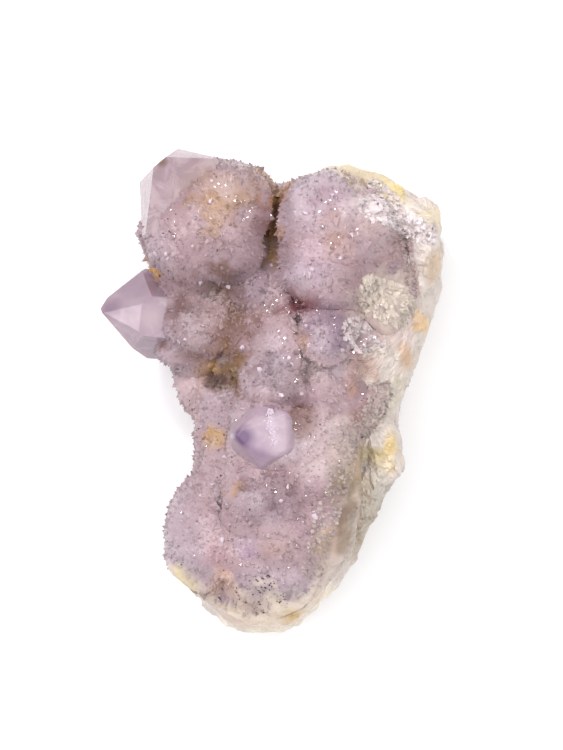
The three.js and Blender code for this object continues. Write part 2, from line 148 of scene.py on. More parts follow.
CHUNKS = [
    ((15.5, 41, 26), (16, -2, 2), 4.6, 8),
    ((24.2, 37.2, 28), (18, -9, 1), 4.6, 9),
    ((29.6, 31.6, 26), (0.6, -16, -1), 4.6, 8.6),
    ((28.2, 20.4, 23.5), (-1, -16, -3), 4.6, 9),
    ((26.2, 9, 22.5), (-6, -16, -2), 4.4, 8),
    ((24.6, 23, 26.5), (-4, -12, 3), 4.4, 8),
    ((22.2, -11.4, 21.5), (3, -12, -4), 4.2, 7.5),
    ((18.2, -22.6, 18), (-5, -12, -4), 4, 8),
    ((10.4, -35.6, 14), (-6.4, -8.3, -3), 4.8, 8),
    ((-1.8, -44.9, 11.5), (-14, -1.4, 0), 4.8, 7.4),
]
# hexagonal share, squareness and lumpiness of each kind of body
KINDS = {"sleeve": (0.55, 3.0, 0.03), "knob": (0.3, 2.3, 0.03), "glassy": (0.2, 2.4, 0.03), "chunk": (0.6, 3.6, 0.07)}
FOOT = 0.75  # how far the feet of the small points lie inside a body's radius


def unit(v):
    """Vectors divided by their own lengths."""
    return v / np.linalg.norm(v, axis=-1, keepdims=True)


def body(kind, at, towards, radius, half):
    """One body as a dictionary, with its axis, the side that is turned most nearly upwards, and the third."""
    axis = unit(np.array(towards, float))
    up = unit(np.array([0, 0, 1.0]) - axis * axis[2])
    hexagonal, squareness, lumpiness = KINDS[kind]
    return dict(kind=kind, at=np.array(at, float), frame=np.stack([axis, up, np.cross(axis, up)]), radius=radius,
                half=half, hexagonal=hexagonal, squareness=squareness, lumpiness=lumpiness)


BODIES = [body(kind, *row) for kind, rows in
          (("sleeve", SLEEVES), ("knob", KNOBS), ("glassy", GLASSY), ("chunk", CHUNKS)) for row in rows]
print(len(BODIES), "bodies and", len(TIPS), "bare tips")

# %% [markdown]
# ## The camera and the light
#
# The real piece was seen from straight above, a little under a metre away, on a white ground with one large
# soft light at the upper left. The camera here looks straight down at the same scale. A pale floor and wide
# soft lights keep the shadows as faint as they are there, and two small bright ones make facets twinkle.

# %% Camera
CAMERA_HEIGHT = 0.8
FOCAL_LENGTH = 182.4  # with 36 mm on the long side, the view is 155 mm high at half the cluster's height
camera_data = bpy.data.cameras.new("camera")
camera_data.lens = FOCAL_LENGTH
camera_data.sensor_fit = "AUTO"
camera_data.sensor_width = 36.0
camera = bpy.data.objects.new("camera", camera_data)
camera.location = ((1.65 - MIDDLE[0]) * MM, (3.3 - MIDDLE[1]) * MM, CAMERA_HEIGHT)
bpy.context.scene.collection.objects.link(camera)
bpy.context.scene.camera = camera

# %% Lights and floor


def area_light(name, place, size, watts, aim=(0.0, 0.0, 0.02)):
    """A square soft light at a place, turned to face a point near the middle of the cluster."""
    data = bpy.data.lights.new(name, "AREA")
    data.size = size
    data.energy = watts
    lamp = bpy.data.objects.new(name, data)
    lamp.location = place
    lamp.rotation_euler = (Vector(aim) - Vector(place)).to_track_quat("-Z", "Y").to_euler()
    bpy.context.scene.collection.objects.link(lamp)
    return lamp


area_light("window light", (-0.6, 0.14, 0.86), 0.7, 6.2)
area_light("overhead light", (0.25, -0.1, 1.2), 1.3, 9.0)
area_light("left glint light", (-0.25, 0.42, 0.5), 0.06, 1.1)
area_light("right glint light", (0.34, 0.26, 0.62), 0.06, 1.0)

world = bpy.data.worlds.new("studio")
world.use_nodes = True
world.node_tree.nodes["Background"].inputs["Color"].default_value = (1.0, 1.0, 1.0, 1.0)
world.node_tree.nodes["Background"].inputs["Strength"].default_value = 0.58
bpy.context.scene.world = world
bpy.context.scene.view_settings.view_transform = "Standard"

floor_mesh = bpy.data.meshes.new("floor")
FLOOR = 1.5
floor_mesh.from_pydata([(-FLOOR, -FLOOR, 0), (FLOOR, -FLOOR, 0), (FLOOR, FLOOR, 0), (-FLOOR, FLOOR, 0)], [],
                       [(0, 1, 2, 3)])
floor = bpy.data.objects.new("floor", floor_mesh)
bpy.context.scene.collection.objects.link(floor)
floor_material = bpy.data.materials.new("floor white")
floor_material.use_nodes = True
floor_material.node_tree.nodes["Principled BSDF"].inputs["Base Color"].default_value = (0.89, 0.885, 0.9, 1)
floor_material.node_tree.nodes["Principled BSDF"].inputs["Roughness"].default_value = 0.7
floor_mesh.materials.append(floor_material)

# %% [markdown]
# ## Noise as whole arrays
#
# Broken stone has no smooth part. Its roughness could come from a Displace modifier with a texture, but here
# it is worked out in numpy, so that the same numbers can shape the surface, choose where small points grow
# and tint both. Two kinds are enough: a smooth swell, and chips, which are flat faces tilted this way and that.

# %% Noise


def hashed(cells, salt):
    """A repeatable number from 0 to 1 for each whole-numbered cell: the fraction of a very large sine."""
    mixed = cells @ np.array([127.1, 311.7, 74.7]) + 53.3 * salt
    return np.modf(np.abs(np.sin(mixed) * 43758.5453))[0]


def swell(points, size, salt=0):
    """Smooth noise from -1 to 1: random values at the corners of cubes, blended along each edge by 3t^2 - 2t^3."""
    scaled = points / size
    base = np.floor(scaled)
    t = scaled - base
    t = t * t * (3 - 2 * t)
    total = np.zeros(len(points))
    for corner in np.ndindex(2, 2, 2):
        near = np.array(corner)
        weight = np.prod(np.where(near, t, 1 - t), axis=1)
        total += weight * hashed(base + near, salt)
    return 2 * total - 1


def roughness(points, size, octaves, salt=0):
    """Swells added up, each half the size and a bit over half the height of the one before."""
    return sum(0.55 ** k * swell(points, size / 2 ** k, salt + k) for k in range(octaves))


def chips(points, size, salt=0):
    """Tilted flat faces, from about -1 to 1: the nearest of one random point in each cube around, and the
    distance from it along that point's own random direction, plus its own random height."""
    scaled = points / size
    base = np.floor(scaled)
    nearest = np.full(len(points), 9.0)
    height = np.zeros(len(points))
    for offset in np.ndindex(3, 3, 3):
        cell = base + np.array(offset) - 1
        seeds = np.stack([hashed(cell, salt + 11 * k) for k in (1, 2, 3)], -1)
        away = scaled - cell - seeds
        far = np.einsum("ij,ij->i", away, away)
        tilt = np.stack([hashed(cell, salt + 17 * k) for k in (1, 2, 3)], -1) - 0.5
        level = np.einsum("ij,ij->i", away, tilt) * 1.6 + hashed(cell, salt + 5) - 0.5
        closer = far < nearest
        nearest = np.where(closer, far, nearest)
        height = np.where(closer, level, height)
    return height


# %% [markdown]
# ## Bodies seen from inside
#
# The matrix and every coated crystal bulge outwards everywhere, so each can be told by one function: how far
# its surface lies from its middle in any direction. The same function tells whether a point is inside. A
# blunt block's reach comes from a sum of powers, which is an ellipsoid at 2 and a box at infinity.

# %% Reaches


def plan_table(edge):
    """How far a closed outline lies from the matrix's centre, at every tenth of a degree round it: where the
    ray meets the straight line between two corners."""
    azimuths = np.radians(np.arange(-1800, 1801) / 10)
    a = edge - CENTRE[:2]
    b = np.roll(a, -1, axis=0)
    ray = np.stack([np.cos(azimuths), np.sin(azimuths)], -1)
    side_a = ray[:, :1] * a[:, 1] - ray[:, 1:] * a[:, 0]
    side_b = ray[:, :1] * b[:, 1] - ray[:, 1:] * b[:, 0]
    share = side_a / np.where(side_a == side_b, 1, side_a - side_b)
    crossing = ray @ a.T + share * (ray @ (b - a).T)
    hit = (side_a >= 0) & (side_b < 0) & (crossing > 0)
    return azimuths, np.where(hit, crossing, 0).max(axis=1)


PLANS = {"matrix": plan_table(MATRIX_EDGE), "crust": plan_table(CRUST_EDGE)}
ANGLES = np.radians(FRACTURES[:, :2])
FRACTURE_NORMALS = np.stack([np.cos(ANGLES[:, 0]) * np.cos(ANGLES[:, 1]), np.sin(ANGLES[:, 0]) * np.cos(ANGLES[:, 1]),
                             np.sin(ANGLES[:, 1])], -1)


def blunt(level, upright, across, along, squareness):
    """Reach of a blunt block: one over the root of the summed powers of its two slopes."""
    return ((across / level) ** squareness + (along / upright) ** squareness) ** (-1 / squareness)


def block_reach(plan, drop, directions):
    """Reach of the unbroken matrix, from its outline's own reach at that azimuth."""
    level = np.interp(np.arctan2(directions[:, 1], directions[:, 0]), *PLANS[plan])
    upright = np.where(directions[:, 2] > 0, RISE, drop)
    return blunt(level, upright, np.hypot(directions[:, 0], directions[:, 1]), np.abs(directions[:, 2]), SQUARENESS)


def within_fractures(reach, directions, outside=0.0):
    """A reach cut short by each flat fracture, which lies at its distance over the cosine to its normal."""
    for normal, distance in zip(FRACTURE_NORMALS, FRACTURES[:, 2]):
        towards = directions @ normal
        facing = towards > 1e-6
        reach = np.where(facing, np.minimum(reach, (distance + outside) / np.where(facing, towards, 1)), reach)
    return reach


def matrix_reach(directions):
    """Reach of the broken matrix: the block, its flat fractures, and the near side of each hollow's sphere."""
    reach = within_fractures(block_reach("matrix", DROP, directions), directions)
    for x, y, z, radius in HOLLOWS:
        middle = np.array([x, y, z]) - CENTRE
        along = directions @ middle
        inside = radius ** 2 - (middle @ middle - along ** 2)
        near = along - np.sqrt(np.maximum(inside, 0))
        reach = np.where((inside > 0) & (near > 0), np.minimum(reach, near), reach)
    return reach


def crust_reach(directions):
    """Reach of the coat where it lies straight on the matrix."""
    return within_fractures(block_reach("crust", CRUST_DROP, directions), directions, CRUST)


def body_reach(part, directions):
    """Reach of a body about its own axis, with six flattened sides and slow swellings."""
    along, u, v = (directions @ part["frame"].T).T
    sixth = math.pi / 3
    turn = (np.arctan2(v, u) + 6.5 * sixth) % sixth - sixth / 2
    level = part["radius"] * (1 + part["hexagonal"] * (1 / np.cos(turn) - 1)) - FOOT
    reach = blunt(level, part["half"], np.hypot(u, v), np.abs(along), part["squareness"])
    x, y, z = (part["at"] + directions * reach[:, None]).T
    lumps = np.sin(0.62 * x + 1.3 * np.sin(0.4 * z)) + np.sin(0.55 * y + 0.7 * z + 2)
    return reach * (1 + part["lumpiness"] * lumps)


def depth_under(reach, middle, points):
    """How deep points lie below a surface with the given reach, along the line to its middle; negative
    outside."""
    away = points - middle
    far = np.linalg.norm(away, axis=1)
    return reach(away / np.maximum(far, 1e-9)[:, None]) - far


def depth_in(part, points):
    """How deep points lie in one body. Those far from it are given a large negative depth unseen."""
    depth = np.full(len(points), -20.0)
    size = part["radius"] + part["half"]
    near = np.flatnonzero(((points - part["at"]) ** 2).sum(axis=1) < size ** 2)
    depth[near] = depth_under(lambda d: body_reach(part, d), part["at"], points[near])
    return depth


# %% Bare tips as planes


def tip_planes(tip):
    """The faces of a quartz crystal, each a normal and its distance from the frame's origin: six sides about
    the middle line, six tip faces through the apex or just outside it, and the foot."""
    axis = unit(np.array(tip["towards"], float))
    up = unit(np.array([0, 0, 1.0]) - axis * axis[2])
    side = np.cross(axis, up)
    turns = np.radians(tip["turn"] + 60 * np.arange(6))
    outwards = np.cos(turns)[:, None] * up + np.sin(turns)[:, None] * side
    slopes = outwards * math.sin(FACE_TO_AXIS) + axis * math.cos(FACE_TO_AXIS)
    normals = np.vstack([outwards, slopes, [-axis]])
    distances = np.concatenate([outwards @ np.array(tip["at"]) + tip["sides"], slopes @ np.array(tip["apex"])
                                + tip["steps"], [-axis @ np.array(tip["at"]) + TIP_LENGTH]])
    return normals, distances


TIP_PLANES = {name: tip_planes(tip) for name, tip in TIPS.items()}


def depth_in_tip(name, points):
    """How deep points lie below the nearest face of a bare tip; negative outside."""
    normals, distances = TIP_PLANES[name]
    return (distances - points @ normals.T).min(axis=1)


print("the matrix reaches", matrix_reach(unit(np.array([[1, 0, 0], [0, 1, 0], [0, 0, 1.0]]))).round(1), "mm")

# %% [markdown]
# ## Writing a mesh
#
# A surface that closes round like a ball is a grid in two angles: rows from one end to the other, columns
# round the axis, and one point at each end. Arrays go into the mesh with foreach_set, with no loop.

# %% Mesh helpers


def new_piece(name, points, faces, material, tint=None, ground=None, smooth=False):
    """A piece of the cluster from points in millimetres and lists of faces with equal numbers of corners. The
    tint is a colour for each point, and the ground is the normal of whatever the point grows on."""
    mesh = bpy.data.meshes.new(name)
    corners = np.concatenate([f.ravel() for f in faces]).astype(np.int32)
    totals = np.concatenate([np.full(len(f), f.shape[1]) for f in faces])
    mesh.vertices.add(len(points))
    mesh.vertices.foreach_set("co", ((points - MIDDLE) * MM).astype(np.float32).ravel())
    mesh.loops.add(len(corners))
    mesh.loops.foreach_set("vertex_index", corners)
    mesh.polygons.add(len(totals))
    mesh.polygons.foreach_set("loop_start", (np.cumsum(totals) - totals).astype(np.int32))
    mesh.polygons.foreach_set("use_smooth", np.full(len(totals), smooth))
    mesh.update(calc_edges=True)
    if tint is not None:
        layer = mesh.attributes.new("tint", "FLOAT_COLOR", "POINT")
        full = np.column_stack([np.clip(tint, 0, 1), np.ones(len(tint))])
        layer.data.foreach_set("color", full.astype(np.float32).ravel())
    if ground is not None:
        layer = mesh.attributes.new("ground", "FLOAT_VECTOR", "POINT")
        layer.data.foreach_set("vector", ground.astype(np.float32).ravel())
    mesh.materials.append(material)
    piece = bpy.data.objects.new(name, mesh)
    bpy.context.scene.collection.objects.link(piece)
    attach(piece, "root")
    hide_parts(NODE)
    print(name, "has", int((totals - 2).sum()), "triangles")
    return piece


def ball_faces(rows, columns):
    """Faces of a closed grid whose points are one end, then the rows in turn, then the other end."""
    row = 1 + columns * np.arange(rows)[:, None]
    here = row + np.arange(columns)
    right = row + (np.arange(columns) + 1) % columns
    quads = np.stack([here[:-1], here[1:], right[1:], right[:-1]], -1).reshape(-1, 4)
    last = rows * columns + 1
    first_fan = np.stack([np.zeros(columns, int), here[0], right[0]], -1)
    last_fan = np.stack([np.full(columns, last), right[-1], here[-1]], -1)
    return [quads, np.vstack([first_fan, last_fan])]


def ball_directions(rows, columns, across, along):
    """Directions of the same grid about the third axis, spread as evenly as on an ellipsoid that is across
    wide, which may differ round it, and along high. It runs from the top to the bottom."""
    polar = np.pi * (np.arange(rows) + 1) / (rows + 1)
    turn = 2 * np.pi * np.arange(columns) / columns - np.pi
    across = np.broadcast_to(across, (columns,))
    x = np.sin(polar)[:, None] * across * np.cos(turn)
    y = np.sin(polar)[:, None] * across * np.sin(turn)
    z = np.broadcast_to((np.cos(polar) * along)[:, None], x.shape)
    middle = np.stack([x, y, z], -1).reshape(-1, 3)
    return unit(np.vstack([[(0, 0, 1.0)], middle, [(0, 0, -1.0)]]))


def normals_at_points(points, faces):
    """Each point's own normal: the sum of the normals of the faces round it, weighted by their areas."""
    normals = np.zeros_like(points)
    for f in faces:
        across = np.cross(points[f[:, 1]] - points[f[:, 0]], points[f[:, -1]] - points[f[:, 0]])
        for k in range(f.shape[1]):
            np.add.at(normals, f[:, k], across)
    return unit(normals + 1e-12)


def joined(surfaces):
    """Several surfaces, each points, faces and any number of further arrays, as one."""
    starts = np.cumsum([0] + [len(s[0]) for s in surfaces])
    faces = [f + start for s, start in zip(surfaces, starts) for f in s[1]]
    return (np.vstack([s[0] for s in surfaces]), faces,
            *[np.vstack([s[k] for s in surfaces]) for k in range(2, len(surfaces[0]))])


# %% Surfaces of the bodies


def body_surface(part, rows, columns):
    """A body's surface on a grid about its own axis, with its normals."""
    local = ball_directions(rows, columns, part["radius"], part["half"])[:, [2, 0, 1]]
    directions = local @ part["frame"]
    points = part["at"] + directions * body_reach(part, directions)[:, None]
    faces = ball_faces(rows, columns)
    return points, faces, normals_at_points(points, faces)


def crust_surface(rows, columns):
    """The coat's bed where it lies straight on the matrix, on a grid of azimuths and heights."""
    level = np.interp(2 * np.pi * np.arange(columns) / columns - np.pi, *PLANS["crust"])
    directions = ball_directions(rows, columns, level, RISE)
    points = CENTRE + directions * crust_reach(directions)[:, None]
    faces = ball_faces(rows, columns)
    return points, faces, normals_at_points(points, faces)


def matrix_surface(rows, columns):
    """The broken matrix on the same kind of grid."""
    level = np.interp(2 * np.pi * np.arange(columns) / columns - np.pi, *PLANS["matrix"])
    directions = ball_directions(rows, columns, level, RISE)
    points = CENTRE + directions * matrix_reach(directions)[:, None]
    faces = ball_faces(rows, columns)
    return points, faces, normals_at_points(points, faces)


# %% [markdown]
# ## Where one crystal grows into the next
#
# A coat of small points bridges the gaps, so two bodies meet in a soft valley and not in a sharp crease. The
# soft meeting is the logarithm of a sum of exponentials of the depths: far from a crease it equals the
# greater depth, and in the crease it is more. A few real crevices stay open, where one crystal overhangs
# the next.

# %% Valleys
SOFTNESS = 3.0
# the middle of each open crevice, and its radius
CREVICES = [
    ((0.6, 40, 30), 7), ((0.6, 34, 31), 8), ((0.4, 28, 29), 7), ((6.2, 18, 33), 4.6), ((5.6, 12.4, 34), 3), ((7.6, 5, 34), 3.6),
    ((12.4, 4.6, 33), 3.6), ((15.6, 8.6, 34), 3), ((-9, 4.3, 24), 6.5),
    ((18.5, 4.3, 30), 6), ((-12, -10, 21), 3), ((-12, 23.5, 29), 4),
    ((-4, 24.8, 26), 4), ((-14, 26, 24), 5), ((-9, -39, 23), 4), ((-8, -22, 26), 3), ((0, -36, 25), 3),
]
COATED = [part for part in BODIES if part["kind"] != "chunk"]


def depths(points):
    """How deep points lie in each coated body and, last, in the coat on the matrix."""
    return np.stack([depth_in(part, points) for part in COATED] + [depth_under(crust_reach, CENTRE, points)])


def away_from(part, points):
    """Directions away from the nearest place on the middle line of a body."""
    axis = part["frame"][0]
    reach = max(part["half"] - 0.7 * part["radius"], 0)
    along = np.clip((points - part["at"]) @ axis, -reach, reach)
    return unit(points - part["at"] - along[:, None] * axis)


def eased(points, normals, own):
    """Points of one coated body moved out, in two steps, into the valleys around it, and then by a slow
    unevenness. Their normals turn towards those of the neighbours. The last two arrays say how far each was
    lifted and whether it is still inside the eased surface."""
    shut = np.ones(len(points))
    for middle, radius in CREVICES:
        far = np.linalg.norm(points - np.array(middle), axis=1) / radius
        shut = np.minimum(shut, np.clip(2 * far - 1, 0.15, 1))
    start, hidden = points, None
    turned = normals
    for step in range(2):
        deep = depths(points)
        if step == 0:
            others = np.delete(deep, own, axis=0).max(axis=0)
            hidden = others > 1.2
        weights = np.exp((deep - deep.max(axis=0)) / SOFTNESS)
        total = weights.sum(axis=0)
        lift = np.clip(deep.max(axis=0) + SOFTNESS * np.log(total), 0, 3.0) * shut
        weights = weights / total
        turned = normals * weights[own][:, None]
        for number, part in enumerate(COATED):
            if number != own:
                busy = np.flatnonzero(weights[number] > 0.02)
                turned[busy] += away_from(part, points[busy]) * weights[number][busy, None]
        if own != len(COATED):
            turned += np.array([0, 0, 1.0]) * weights[-1][:, None]
        agreement = np.linalg.norm(turned, axis=1)
        turned = unit(turned + 1e-9)
        lift = np.where(hidden, 0, lift) * np.clip((1 - agreement) / 0.16, 0, 1)
        points = points + turned * lift[:, None]
    lifted = np.linalg.norm(points - start, axis=1)
    uneven = 0.6 * swell(points, 5.5, 200) + 0.4 * swell(points, 2.6, 201)
    return points + turned * uneven[:, None], turned, lifted, hidden


def open_to_air(points, own, slack):
    """True where a place lies outside the matrix, every other body and every bare tip, give or take a slack."""
    deep = depths(points)
    if own is not None:
        deep[own] = -20
    free = deep.max(axis=0) < slack
    free &= depth_under(matrix_reach, CENTRE, points) < slack
    for part in BODIES:
        if part["kind"] == "chunk":
            free &= depth_in(part, points) < slack
    for name in TIPS:
        free &= depth_in_tip(name, points) < 0.2
    return free & (points[:, 2] > 0.5)


# %% [markdown]
# ## Colour
#
# The druse is a greyed lilac, pinker on the large crystal and bluer where the points are cloudy. Iron has left ochre
# in the crevices and cream on the broken edge. Each stain is a soft ball of colour at a place on the cluster, ragged
# at its rim, and the tints are kept with the points of the mesh, so they follow the surface. In the valleys between
# the bodies the colour is also painted a little darker and browner: painted shade.

# %% Tints


def linear(r, g, b):
    """A colour as it looks, 0 to 255, turned into the amount of light that Blender counts with."""
    c = np.array([r, g, b]) / 255
    return np.where(c > 0.04045, ((c + 0.055) / 1.055) ** 2.4, c / 12.92)


LILAC = linear(163, 143, 152)
# the middle of each stain, its radius, its colour and how much of it shows
COAT_STAINS = [
    ((4, -0.2, 36), 9, linear(146, 122, 134), 0.5),
    ((2.4, 3.3, 34), 5.5, linear(122, 98, 110), 0.8),
    ((10, 12.6, 39), 6.5, linear(128, 108, 124), 0.7),
    ((-5.6, 34.6, 37), 5, linear(146, 118, 122), 0.7),
    ((-10.7, 40.2, 38), 5, linear(176, 148, 118), 0.6),
    ((-17, 14.6, 25), 8, linear(112, 86, 88), 0.75),
    ((-9.8, 18.4, 28), 6, linear(90, 66, 56), 0.75),
    ((-0.7, -20.2, 31), 7, linear(144, 120, 130), 0.7),
    ((3.2, -32.5, 28), 5, linear(154, 132, 136), 0.5),
    ((8.6, 24.8, 42), 5, linear(186, 164, 176), 0.6),
    ((-9, 40, 37), 8, linear(157, 129, 109), 0.75),
    ((-11.5, 33, 37), 4.5, linear(162, 135, 109), 0.6),
    ((-13.9, 47.7, 31), 3, linear(197, 113, 127), 0.7),
    ((-11, 13.5, 26), 13, linear(124, 96, 94), 0.85),
    ((-8, 19, 28), 8, linear(108, 80, 68), 0.7),
    ((-5, 25, 25), 4, linear(136, 106, 91), 0.7),
    ((-4.5, 20.6, 30), 5.5, linear(138, 122, 135), 0.85),
    ((-23.7, 25.1, 24.9), 2.8, linear(206, 162, 95), 0.95),
    ((-0.2, 40, 28), 6, linear(170, 128, 84), 0.9),
    ((-0.2, 33, 28), 6, linear(160, 118, 78), 0.95),
    ((0, 27.5, 26), 4.5, linear(166, 126, 86), 0.9),
    ((6.4, 18.4, 34), 4.4, linear(106, 54, 60), 0.9),
    ((10.3, 37.4, 43), 5.5, linear(156, 132, 142), 0.6),
    ((8.3, 27, 42), 6, linear(173, 153, 166), 0.8),
    ((12.6, 30.6, 43), 4.5, linear(152, 122, 112), 0.7),
    ((15, 22, 38), 6, linear(169, 147, 151), 0.6),
    ((23, 31.5, 28), 7.5, linear(187, 162, 160), 0.9),
    ((26.5, 31, 29), 2.8, linear(151, 129, 136), 0.9),
    ((21.6, 35.6, 39), 6.6, linear(226, 210, 212), 0.9),
    ((18, 12.5, 33), 5, linear(187, 173, 173), 0.8),
    ((21, 10, 30), 4, linear(187, 175, 173), 0.8),
    ((16, 43.5, 33), 5.5, linear(187, 167, 149), 0.8),
    ((22.5, 18.4, 34), 7.5, linear(188, 176, 172), 0.95),
    ((10, 11.4, 39), 5.5, linear(130, 110, 124), 0.75),
    ((2, 2.5, 36), 6.5, linear(108, 86, 96), 0.75),
    ((17, -6, 30), 5, linear(155, 126, 118), 0.75),
    ((-8.9, 4.3, 25), 6, linear(112, 84, 58), 0.95),
    ((-4.5, 6.5, 27), 3.4, linear(126, 94, 74), 0.8),
    ((-14, 4.3, 20.6), 3.5, linear(157, 129, 111), 0.7),
    ((-17.2, -0.8, 17.8), 5, linear(189, 166, 166), 0.6),
    ((-12, -10, 22.4), 3, linear(186, 149, 89), 0.9),
    ((-7.7, -19.9, 29), 3.2, linear(182, 144, 84), 0.9),
    ((-8, -23, 27), 3.2, linear(136, 111, 102), 0.6),
    ((18.5, 4.3, 31), 6, linear(170, 140, 132), 0.9),
    ((19.5, 5.5, 31), 2.4, linear(178, 133, 75), 0.8),
    ((14.5, -0.7, 32), 3, linear(178, 138, 95), 0.7),
    ((6.2, 11, 34), 3.4, linear(160, 128, 104), 0.6),
    ((7.6, 4.5, 34), 4, linear(168, 140, 128), 0.6),
    ((5.2, -6.8, 36.6), 4, linear(100, 70, 68), 0.95),
    ((12.4, -12, 32), 9, linear(198, 186, 189), 0.85),
    ((-10, -34, 28), 4.5, linear(178, 146, 154), 0.4),
    ((-5, -31, 30), 4, linear(157, 140, 167), 0.6),
    ((-9.6, -38.8, 23.5), 4.6, linear(214, 182, 166), 0.85),
    ((-0.7, -31, 30), 3.4, linear(157, 129, 116), 0.6),
    ((-1, -20.2, 34), 7, linear(124, 102, 110), 0.7),
    ((23.5, 0, 25), 6, linear(193, 180, 171), 0.9),
    ((19, -14, 26), 7, linear(187, 175, 157), 0.9),
    ((15.6, -21, 25), 5.5, linear(169, 155, 138), 0.9),
    ((21, -23, 21), 6, linear(177, 167, 153), 0.85),
    ((15, -32, 20), 8, linear(168, 153, 130), 0.9),
    ((0, -48, 15), 13, linear(226, 214, 196), 0.95),
    ((-16, -42, 15), 7, linear(204, 189, 162), 0.9),
    ((-4.4, 33.6, 38), 5, linear(118, 92, 96), 0.7),
    ((10.4, -30, 31), 4.6, linear(152, 132, 122), 0.7),
    ((-17, 14.4, 26.5), 6, linear(104, 78, 80), 0.65),
    ((2.4, 3, 37), 5.5, linear(100, 80, 90), 0.65),
    ((5.4, -6.8, 36.8), 4, linear(122, 92, 90), 0.75),
    ((-8.6, 18.6, 29), 4.5, linear(88, 62, 52), 0.6),
    ((-9, 3.6, 25), 4, linear(112, 82, 56), 0.6),
    ((20.4, 30.6, 38), 4.5, linear(140, 114, 114), 0.4),
    ((23.4, 31.4, 35), 4, linear(128, 104, 106), 0.45),
    ((-7, 4.9, 27), 2.2, linear(168, 134, 86), 0.8),
    ((-12.1, 4.6, 24), 1.8, linear(162, 126, 84), 0.7),
    ((-12.4, 2, 24), 2.2, linear(78, 52, 48), 0.8),
    ((-10.2, 2.4, 25), 2.2, linear(72, 46, 44), 0.8),
    ((13, -13, 32), 4, linear(192, 178, 174), 0.6),
    ((12.2, -19.6, 29), 5, linear(146, 128, 110), 0.75),
    ((14.6, -16.4, 26), 4.5, linear(150, 136, 110), 0.7),
]
VEIN_BASE = linear(200, 188, 180)
VEIN_STAINS = [
    ((20, 43.5, 31), 12, linear(204, 186, 154), 0.85),
    ((4, 41, 30), 7, linear(202, 187, 155), 0.8),
    ((0, 36, 26), 5, linear(174, 134, 84), 0.8),
    ((24, 40.5, 34), 4, linear(211, 189, 122), 0.7),
    ((20.5, 36.4, 36), 4.5, linear(222, 220, 222), 0.9),
    ((25, 35, 31), 4, linear(218, 213, 215), 0.8),
    ((34, 36, 30), 5, linear(211, 195, 166), 0.8),
    ((30, 29, 29), 6, linear(202, 189, 184), 0.8),
    ((33.5, 26, 28), 4, linear(186, 162, 136), 0.75),
    ((25, 30.5, 27), 5, linear(160, 138, 142), 0.9),
    ((22.5, 18.4, 34), 7, linear(192, 181, 177), 0.9),
    ((25.7, 12.4, 29), 6, linear(197, 178, 173), 0.8),
    ((30.5, 14, 27), 3, linear(206, 173, 127), 0.8),
    ((27.2, 6.8, 26), 3.4, linear(189, 155, 124), 0.85),
    ((18.5, 4.3, 31), 4.5, linear(176, 146, 136), 0.85),
    ((25, 0, 25), 5, linear(197, 186, 171), 0.8),
    ((16.7, -16, 26), 6, linear(187, 178, 171), 0.7),
    ((24.2, -11, 25), 3.4, linear(206, 178, 116), 0.8),
    ((23.8, -15.2, 24), 3, linear(210, 190, 152), 0.7),
    ((19.5, -13, 25), 3.5, linear(184, 167, 118), 0.7),
    ((20.8, -22.3, 22), 8, linear(174, 164, 152), 0.9),
    ((16.6, -19.6, 26), 5, linear(196, 182, 164), 0.85),
    ((15.6, -16, 29), 3.6, linear(176, 158, 122), 0.75),
    ((14.5, -18.6, 32), 3.2, linear(134, 114, 92), 0.7),
    ((14.6, -26, 30), 5, linear(124, 106, 92), 0.85),
    ((15.6, -30.6, 27), 4.5, linear(140, 122, 104), 0.8),
    ((22.5, -20, 19), 4, linear(186, 178, 167), 0.7),
    ((18.9, -30.7, 17), 8, linear(164, 150, 130), 0.85),
    ((10.4, -30, 31), 4.6, linear(168, 148, 132), 0.7),
    ((2, -46, 15), 14, linear(228, 217, 200), 0.95),
    ((3.8, -44.5, 20), 3.5, linear(206, 177, 109), 0.8),
    ((-18, -38.5, 20), 4, linear(216, 198, 152), 0.8),
]


def tinted(points, base, stains, ragged=0.8):
    """A base colour with each stain laid over it: full inside half its radius, gone at its rim. Each is twice
    as high as wide, and the distance is made uneven by noise."""
    colour = np.broadcast_to(base, (len(points), 3)).copy()
    uneven = roughness(points, 3.2, 3, 40)
    for middle, radius, stain, share in stains:
        far = np.linalg.norm((points - np.array(middle)) * [1, 1, 0.5], axis=1) / radius + ragged * 0.5 * uneven
        amount = share * np.clip((1.0 - far) / 0.5, 0, 1)[:, None]
        colour = colour * (1 - amount) + stain * amount
    return colour


CLOUD = linear(182, 166, 174)
# painted shade: how much the coat colour is darkened and browned at the bottom of a valley
PAINTED_VALLEY_SHADE = np.array([0.9, 0.81, 0.78])
# where the coat gives way to plain granular quartz, seen from above: y, and the x beyond which it is gone
WORN_EDGE = np.array([
    (-44, 3), (-40, 6), (-36, 8), (-28, 10), (-20, 12.8), (-12, 14.6), (-8, 17), (-4, 20.5), (0, 22), (5, 21),
    (9, 18), (14, 18.4), (20, 18.4), (24, 24), (30, 30.5), (36, 26), (40, 20.5), (44, 13),
])
# the same at the front: x, and the y below which the coat is gone
WORN_FRONT = np.array([(-20, -36), (-16, -39), (-12, -42), (-5, -44.6), (0, -44.6), (5, -42), (8, -40)])


def worn_share(points):
    """How far the coat has thinned out: 0 on the druse, 1 from two millimetres beyond the ragged edge."""
    ragged = 2.5 * roughness(points, 5.0, 3, 90)
    right = points[:, 0] - np.interp(points[:, 1], *WORN_EDGE.T)
    front = np.interp(points[:, 0], *WORN_FRONT.T) - points[:, 1]
    return np.clip((np.maximum(right, front) + ragged) / 2.0, 0, 1)


def vein_colour(points):
    """The vein's colour, mottled by fine noise."""
    return tinted(points, VEIN_BASE, VEIN_STAINS) * (1 + 0.12 * roughness(points, 2.0, 3, 70))[:, None]


